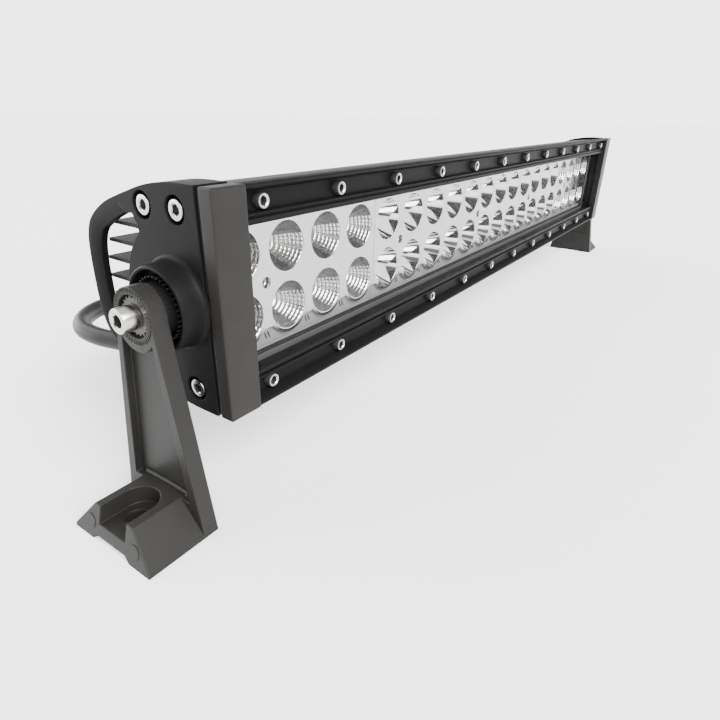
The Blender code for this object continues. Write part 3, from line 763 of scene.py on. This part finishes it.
def make_front_frame():
    for label, up in (("top", 1), ("bottom", -1)):
        strip = prism(f"{label}_strip", [strip_section(up)], "X", -STRIP_END, STRIP_END)
        shade(strip, 25)
        finish_piece(strip, BLACK, "bar", f"{label}_bezel_strip")
    for label, side in SIDES:
        post = block(f"{label}_post", (side * POST_INNER, POST_FRONT, -39.9),
                     (side * POST_OUTER, POST_BACK, 39.9))
        round_edges(post, 0.7, 3)
        step = block("step", (side * (POST_INNER + 0.6), POST_BACK - 1, -38.3),
                     (side * (POST_OUTER - 0.9), FRAME_BACK, 38.3))
        nose = block("nose", (side * (POST_INNER + 0.5), POST_BACK - 1, -30),
                     (side * 250.7, 7.7, 30))
        post = join(settle(post), step, nose)
        shade(post, 40)
        finish_piece(post, FRAME, "bar", f"{label}_end_post")


# End plates

def silhouette():
    crowned = [(HOUSING_FRONT, crown(HOUSING_FRONT))]
    crowned += [(y, crown(y)) for y in (14, 17, 20, 23, 26, 29, 32, 34.5)]
    back = smooth([(37, crown(37)), (47.2, 33.3), (54.4, 30.7), (60, 27.8), (64.5, 24.7),
                   (68, 20.8), (70.2, 15), (71.1, 7), (LOOP_BACK, 0)], 6)
    return mirrored(crowned + back)


def opening(outer):
    """The loop's opening, at the plate's face when outer, or inside its wide bevel."""
    limit = math.degrees(math.acos((36.6 - PIVOT_Y) / LOOP_FRONT_RADIUS))
    front = arc((PIVOT_Y, 0), LOOP_FRONT_RADIUS, 0, limit, 16)
    front += smooth([front[-1], (37.3, 25.2), (39.2, 28.2)], 6)[1:]
    if outer:
        rear = [(46.4, 31.4), (54.7, 28.4), (60.5, 25.6), (65.4, 21.6), (68.4, 15.5), (69.9, 7.5),
                (70.1, 0)]
    else:
        rear = [(45.6, 27.4), (51.5, 25.0), (56.6, 22.5), (61.6, 19.3), (64.6, 14.2), (65.9, 7.0),
                (66.2, 0)]
    half = front + smooth(rear, 6)
    return half + [(y, -z) for y, z in reversed(half[1:-1])]


def bevel_tool(side):
    """Cutter for the wide bevel; its front wall stands free in the opening."""
    rings = []
    for rise in (-BEVEL_DEPTH - 0.4, 1.0):
        ring = []
        for (y0, z0), (y1, z1) in zip(opening(False), opening(True)):
            if (y0, z0) == (y1, z1):
                point = (y0 + 0.8, z0 * 0.97)
            else:
                share = 1 + rise / BEVEL_DEPTH
                point = (y0 + (y1 - y0) * share, z0 + (z1 - z0) * share)
            ring.append((side * (PLATE_FACE + rise), *point))
        rings.append(ring)
    return loft("bevel_tool", rings)


def make_end_plate(label, side):
    """Cast end cap: hollow hood, D-shaped loop, and counterbored screw holes."""
    plate = prism(f"{label}_plate", [silhouette()], "X", side * HOOD_END, side * PLATE_FACE)
    half = [(-10, CROWN_TOP - HOOD_WALL)] + [(y, crown(y) - HOOD_WALL) for y in (14, 20, 26, 32, 35)]
    half += [(35, 60), (90, 60)]
    inside = prism("inside", [mirrored(half)], "X", side * PLATE_BACK, side * 240)
    through = prism("through", [opening(False)], "X", side * 250, side * 270)
    plate = cut(plate, inside, through, bevel_tool(side))
    holes, bores = [], []
    for up in (-1, 1):
        for y, z in CAP_SCREWS:
            holes.append(((side * 250, y, z * up), (side * 263, y, z * up)))
            bores.append(((side * (PLATE_FACE - 3.3), y, z * up), (side * 263, y, z * up)))
    plate = cut(plate, rods("holes", holes, (2.3, 2.3), 24), rods("bores", bores, (4.7, 4.7), 48))
    round_edges(plate, 0.35, 3, 50)
    finish_piece(plate, BLACK, "bar", f"{label}_end_plate")
    make_collar(label, side)


def make_collar(label, side):
    """Round boss with its lip, recess and beaded inner ring."""
    ring_top = BRACKET_INNER - 0.4 - PLATE_FACE
    profile = [
        (0, 4.5), (4.4, 4.5), (4.4, ring_top - 0.3), (4.8, ring_top), (9.0, ring_top),
        (9.4, ring_top - 0.5), (9.4, 4.6), (9.7, 4.3), (12.9, 4.3), (13.2, 4.6), (13.3, 7.7),
        (13.4, 8.5), (13.8, 9.0), (14.2, 9.0), (14.6, 8.7), (14.8, 8.1), (15.0, 4.5), (15.2, 3.0),
        (15.4, 1.4), (15.7, 0.7), (16.2, 0.2), (16.8, 0.0), (16.8, -0.4), (0, -0.4),
    ]

    def teeth(index, angle):
        return 0.07 * (math.cos(40 * angle) - 1) if index in (4, 5, 6) else 0

    collar = turned(f"{label}_collar", profile, (side * PLATE_FACE, PIVOT_Y, 0), (side, 0, 0), 240,
                    teeth)
    finish_piece(shade(collar, 30), BLACK, "bar")
    beads = []
    for i in range(36):
        angle = 2 * math.pi * i / 36
        y, z = PIVOT_Y + 11.0 * math.cos(angle), 11.0 * math.sin(angle)
        start = (side * (PLATE_FACE + 4.0), y, z)
        beads.append(rods("bead", [(start, (side * (PLATE_FACE + 8.2), y, z))], (0.42, 0.30), 8))
    beads = merge(f"{label}_beads", beads)
    # The beads take the lighter frame coat, not the collar's black: a painted highlight that makes
    # them show as bright dots.
    finish_piece(shade(beads), FRAME, "bar")


# Brackets

def leg_half(z):
    return HUB_RADIUS + (LEG_HALF_FOOT - HUB_RADIUS) * -z / AXIS_HEIGHT


def foot_section(x_bottom, lean):
    edge = leg_half(-FOOT_EDGE)
    shape = [(LEG_HALF_FOOT, -AXIS_HEIGHT), (edge, -FOOT_EDGE), (FOOT_TOP_HALF, -FOOT_TOP),
             (-FOOT_TOP_HALF, -FOOT_TOP), (-edge, -FOOT_EDGE), (-LEG_HALF_FOOT, -AXIS_HEIGHT)]
    height = AXIS_HEIGHT - FOOT_TOP
    return [(x_bottom - lean * (z + AXIS_HEIGHT) / height, PIVOT_Y + y, z) for y, z in shape]


def hub_teeth(label, side):
    """Radial serrations round the hub's outer rim."""
    bars = []
    for i in range(HUB_TEETH):
        angle = 2 * math.pi * i / HUB_TEETH
        inner = (PIVOT_Y + 7.2 * math.cos(angle), 7.2 * math.sin(angle))
        outer = (PIVOT_Y + 9.5 * math.cos(angle), 9.5 * math.sin(angle))
        start = (side * (BRACKET_OUTER - 0.35), *inner)
        end = (side * (BRACKET_OUTER - 0.05), *outer)
        bars.append(rods("tooth", [(start, end)], (0.3, 0.44), 6))
    return merge(f"{label}_hub_teeth", bars)


def make_bracket(label, side):
    """Swivel bracket: serrated hub, webbed leg and a slotted foot."""
    body = f"{label}_bracket"
    leg_angle = math.degrees(math.atan((LEG_HALF_FOOT - HUB_RADIUS) / AXIS_HEIGHT))
    outline = arc((PIVOT_Y, 0), HUB_RADIUS, -leg_angle, 180 + leg_angle, 56)
    outline += [(PIVOT_Y - LEG_HALF_FOOT, -AXIS_HEIGHT), (PIVOT_Y + LEG_HALF_FOOT, -AXIS_HEIGHT)]
    leg = prism(f"{label}_leg", [outline], "X", side * BRACKET_INNER, side * BRACKET_OUTER)
    top, bottom = -9.0, -FOOT_TOP - 0.6
    web = [(PIVOT_Y + leg_half(bottom) - FLANGE_WIDTH, bottom)]
    web += arc((PIVOT_Y, -2.0), 10.4, -18, -162, 14)
    web += [(PIVOT_Y - leg_half(bottom) + FLANGE_WIDTH, bottom)]
    narrow = leg_half(top) - FLANGE_WIDTH
    web = [(y, z) for y, z in web if abs(y - PIVOT_Y) < narrow + 1.8 or z < -30]
    inner_web = [(PIVOT_Y + leg_half(z) * up - 5.0 * up, z) for up, z in
                 ((1, -60), (1, -18), (-1, -18), (-1, -60))]
    leg = cut(leg, prism("web", [web], "X", side * WEB_FLOOR, side * 285),
              prism("inner_web", [inner_web], "X", side * 271, side * (BRACKET_INNER + 0.9)))
    start, end = (90, 270) if side > 0 else (-90, 90)
    slot = arc((side * SLOT_CENTRE, PIVOT_Y), SLOT_RADIUS, start, end, 40)
    slot += [(side * 310, slot[-1][1]), (side * 310, slot[0][1])]
    floor = -AXIS_HEIGHT
    groove = [(PIVOT_Y - 11.6, floor - 0.5), (PIVOT_Y + 11.6, floor - 0.5),
              (PIVOT_Y + 8.0, floor + 2.0), (PIVOT_Y - 8.0, floor + 2.0)]
    hole_x = side * FOOT_HOLE_X
    leg = cut(leg, prism("groove", [groove], "X", side * 260, side * 310),
              rod("recess", (side * HUB_RECESS_FLOOR, PIVOT_Y, 0), (side * 285, PIVOT_Y, 0),
                  HUB_RECESS_RADIUS, 64),
              rod("bore", (side * 265, PIVOT_Y, 0), (side * 285, PIVOT_Y, 0), BORE_RADIUS, 32))
    foot = loft(f"{label}_foot", [foot_section(side * FOOT_INNER, 0),
                                  foot_section(side * FOOT_OUTER, side * FOOT_LEAN)])
    foot = cut(foot, prism("slot", [slot], "Z", -SLOT_FLOOR, -50),
               rod("hole", (hole_x, PIVOT_Y, -90), (hole_x, PIVOT_Y, -70), FOOT_HOLE_RADIUS),
               prism("groove", [groove], "X", side * 260, side * 310))
    round_edges(foot, 0.35, 3, 30)
    finish_piece(foot, CHARCOAL, body)
    round_edges(leg, 0.35, 3, 30)
    finish_piece(leg, CHARCOAL, body, body)
    make_ridge(label, side)
    finish_piece(hub_teeth(label, side), CHARCOAL, body)
    make_foot_bosses(label, side)
    make_lock_washer(label, side)


def make_ridge(label, side):
    """Raised bead where the leg's web meets the foot."""
    z = -FOOT_TOP + 0.5
    route = [(side * 275.7, PIVOT_Y + 11.5, z), (side * 275.7, PIVOT_Y - 11.0, z),
             (side * 276.1, PIVOT_Y - 12.2, z - 0.8), (side * 276.6, PIVOT_Y - 12.6, z - 2.4)]
    ridge = settle(tube(f"{label}_ridge", smooth(route, 5), 1.15, 4))
    tidy_mesh(ridge.data, flatten=False)
    finish_piece(shade(ridge), CHARCOAL, f"{label}_bracket")


def make_foot_bosses(label, side):
    """Two low round bosses on the foot's leaning end face."""
    lean = FOOT_LEAN / (AXIS_HEIGHT - FOOT_TOP)
    out = Vector((side, 0, lean)).normalized()
    bosses = []
    for y, height in ((12.9, 6.0), (-12.9, 5.6)):
        at = Vector((side * (FOOT_OUTER - lean * height), PIVOT_Y + y, height - AXIS_HEIGHT))
        bosses.append(rods("boss", [(at - out, at + out * 0.18)], (3.1, 2.9), 40))
    bosses = merge(f"{label}_foot_bosses", bosses)
    finish_piece(shade(bosses, 40), CHARCOAL, f"{label}_bracket")


def make_lock_washer(label, side):
    """Toothed washer in the hub's recess, darkened as painted shade for the recess."""
    outline = []
    for i in range(WASHER_TEETH):
        for share, radius in ((0.0, 6.1), (0.18, 6.9), (0.5, 6.9), (0.68, 6.1)):
            angle = 2 * math.pi * (i + share) / WASHER_TEETH
            outline.append((PIVOT_Y + radius * math.cos(angle), radius * math.sin(angle)))
    washer = prism(f"{label}_star_washer", [outline, circle((PIVOT_Y, 0), 3.0, 40)], "X",
                   side * 276.4, side * 277.4)
    round_edges(washer, 0.12, 1)
    finish_piece(washer, WASHER_RECESS_SHADE, f"{label}_bracket", f"{label}_lock_washer")


# Lamps

def module_centres(index):
    middle = MODULE_LENGTH * (index - (MODULES - 1) / 2)
    columns = [middle + LED_PITCH * (i - (MODULE_COLUMNS - 1) / 2) for i in range(MODULE_COLUMNS)]
    return middle, columns


def face_outline(middle, columns):
    """The bright face of a module: straight on top, its lower edge scalloped round the cups."""
    half = MODULE_LENGTH / 2 - FACE_END_GAP
    lower = []
    steps = 160
    for step in range(steps + 1):
        x = middle - half + 2 * half * step / steps
        nearest = min(abs(x - column) for column in columns)
        drop = math.sqrt(max(SCALLOP_FLOOR ** 2, SCALLOP_RADIUS ** 2 - nearest ** 2))
        lower.append((x, -LED_ROW_Z - drop))
    return [(middle + half, FACE_HALF_HEIGHT), (middle - half, FACE_HALF_HEIGHT)] + lower


def cup_radius(share):
    """Radius of a parabolic cup at a share of its depth, 0 at the rim."""
    rim, bottom = CUP_RADIUS - 0.25, CUP_FLOOR_RADIUS
    return math.sqrt(bottom ** 2 + (rim ** 2 - bottom ** 2) * (1 - share))


def stipple(a, b):
    """A repeatable scatter between 0 and 1."""
    return math.sin(a * 12.9898 + b * 78.233) * 43758.5453 % 1.0


def stippled(angle):
    """Whether a flood cup is stippled at an angle: its upper part and a band at the bottom."""
    return math.sin(angle) > 0.36 or math.sin(angle) < -0.95


def flood_relief(share, angle):
    """Inward relief of a flood cup: fluted rings at its sides, stipple above and below."""
    if stippled(angle):
        return 0.12 + 0.12 * stipple(round(angle * 40), round(share * 60))
    ring = abs(math.sin(math.pi * FLOOD_RINGS * share))
    flute = abs(math.sin(FLOOD_FLUTES / 2 * angle))
    return 0.42 * ring * (0.6 + 0.4 * flute)


def make_cup(name, x, z, flood):
    """One cup as a thin turned shell, smooth for a spot lamp and faceted in rings for a flood."""
    depth = REFLECTOR_BACK - REFLECTOR_FRONT
    rows = 6 * FLOOD_RINGS if flood else 14
    steps = 4 * FLOOD_FLUTES if flood else 48
    shell = bmesh.new()
    loops = []

    def add_loop(share, grow=0.0, relief=False):
        loop = []
        y = REFLECTOR_FRONT + 0.1 + (depth - 0.1) * share
        for step in range(steps):
            angle = 2 * math.pi * step / steps
            r = cup_radius(share) + grow
            if relief:
                r -= flood_relief(share, angle)
            loop.append(shell.verts.new(place(x + r * math.cos(angle), y, z + r * math.sin(angle))))
        loops.append(loop)

    for row in range(rows + 1):
        share = row / rows
        add_loop(share, relief=flood and 0 < row < rows)
    for share in (1.0, 0.5, 0.0):
        add_loop(share, grow=0.7)
    count = len(loops)
    for i in range(count):
        low, high = loops[i], loops[(i + 1) % count]
        for step in range(steps):
            after = (step + 1) % steps
            face = shell.faces.new((low[step], low[after], high[after], high[step]))
            # Crease lines and the stippled part take the darker second material: painted shade along
            # the creases and over the stipple.
            crease = i % 6 == 0 or step % 4 == 0
            rough = stippled(2 * math.pi * (step + 0.5) / steps)
            face.material_index = int(flood and i < rows and (crease or rough))
    face_outwards(shell)
    return from_shell(name, shell)


def make_reflector(index):
    """One lamp module: its face with eight cups, the ledge under it, and its screw."""
    middle, columns = module_centres(index)
    node = f"reflector_{index + 1}"
    loops = [face_outline(middle, columns)]
    loops += [circle((x, z), CUP_RADIUS, 64) for x in columns for z in (-LED_ROW_Z, LED_ROW_Z)]
    screw_x = columns[0] + LED_PITCH / 2
    loops.append(circle((screw_x, 0), 2.3, 32))
    face = prism(f"{node}_face", loops, "Y", REFLECTOR_FRONT, REFLECTOR_FRONT + 1.0)
    finish_piece(shade(face, 30), PLATE_CHROME, "bar", node)
    flood = index in FLOOD_MODULES
    cups = [make_cup("cup", x, z, flood) for x in columns for z in (-LED_ROW_Z, LED_ROW_Z)]
    cups = merge(f"{node}_cups", cups)
    if flood:
        finish_piece(shade(cups, 60), FLOOD_CHROME, "bar", second=STIPPLE_AND_CREASE_SHADE)
    else:
        finish_piece(shade(cups, 40), CHROME, "bar")
    half = MODULE_LENGTH / 2 - FACE_END_GAP
    edge = [(middle - half, -17), (middle + half, -17), (middle + half, -FACE_HALF_HEIGHT),
            (middle - half, -FACE_HALF_HEIGHT)]
    ledge = prism(f"{node}_ledge", [edge], "Y", LEDGE_Y, LEDGE_Y + 1.0)
    ends = [((x, LEDGE_Y - 1, -LED_ROW_Z), (x, LEDGE_Y + 2, -LED_ROW_Z)) for x in columns]
    room = rods("cup_room", ends, (10.9, 10.9), 48)
    seam = block("seam", (middle - half - 1, LEDGE_Y - 0.2, -25.8),
                 (middle + half + 1, LEDGE_Y + 0.5, -25.6))
    ledge = cut(ledge, room, seam)
    finish_piece(shade(ledge, 30), LEDGE_CHROME, "bar")
    slants = [x + LED_PITCH / 2 + shift for x in columns[:-1] for shift in (-0.9, 0.9)]
    ends = [((x - 0.5, LEDGE_Y, -20.6), (x + 0.5, LEDGE_Y, -23.4)) for x in slants]
    tabs = rods(f"{node}_tabs", ends, (0.42, 0.42), 10)
    finish_piece(shade(tabs), PLATE_CHROME, "bar")
    screw = socket_screw(f"{node}_screw", (screw_x, REFLECTOR_FRONT + 1.6, 0), (0, 1, 0), 2.1, 1.5,
                         0.9, 0.8, 32)
    finish_piece(screw, STAINLESS, "bar", second=SOCKET_AND_SIDE_SHADE)


def make_leds():
    packages, domes = [], []
    base = LED_BOARD_FACE - 0.7
    profile = [(0, 1.15)] + [(abs(r), h) for r, h in arc((0, 0), 1.2, 80, 0, 6)] + [(0, 0)]
    for index in range(MODULES):
        for x in module_centres(index)[1]:
            for z in (-LED_ROW_Z, LED_ROW_Z):
                packages.append(block("package", (x - 1.75, base, z - 1.75),
                                      (x + 1.75, LED_BOARD_FACE + 0.2, z + 1.75)))
                domes.append(turned("dome", profile, (x, base, z), (0, -1, 0), 20))
    finish_piece(merge("led_packages", packages), CERAMIC, "bar")
    finish_piece(shade(merge("led_domes", domes)), PHOSPHOR, "bar")


# Carried-over CAD nodes

def dress(node, material, width=0.0):
    """Keep a CAD node's shape and give it a finished material and fine edges."""
    piece = frame["nodes"][node]
    if not piece.data.materials:
        piece.data.materials.append(material)
    for slot in piece.material_slots:
        slot.material = material
    if width:
        round_edges(piece, width, 2, 35)


make_camera()
make_cable()
make_studio()
make_front_frame()
make_front_screws()
for side_label, side_sign in SIDES:
    make_end_plate(side_label, side_sign)
    make_cap_screws(side_label, side_sign)
    make_bracket(side_label, side_sign)
    make_pivot_bolt(side_label, side_sign)
    dress(f"{side_label}_end_gasket", SILICONE)
for module_index in range(MODULES):
    make_reflector(module_index)
make_leds()
dress("housing", HEAT_SINK)
dress("lens", CLEAR)
dress("lens_gasket", SILICONE)
dress("led_board", BOARD)
dress("driver_board", CIRCUIT)
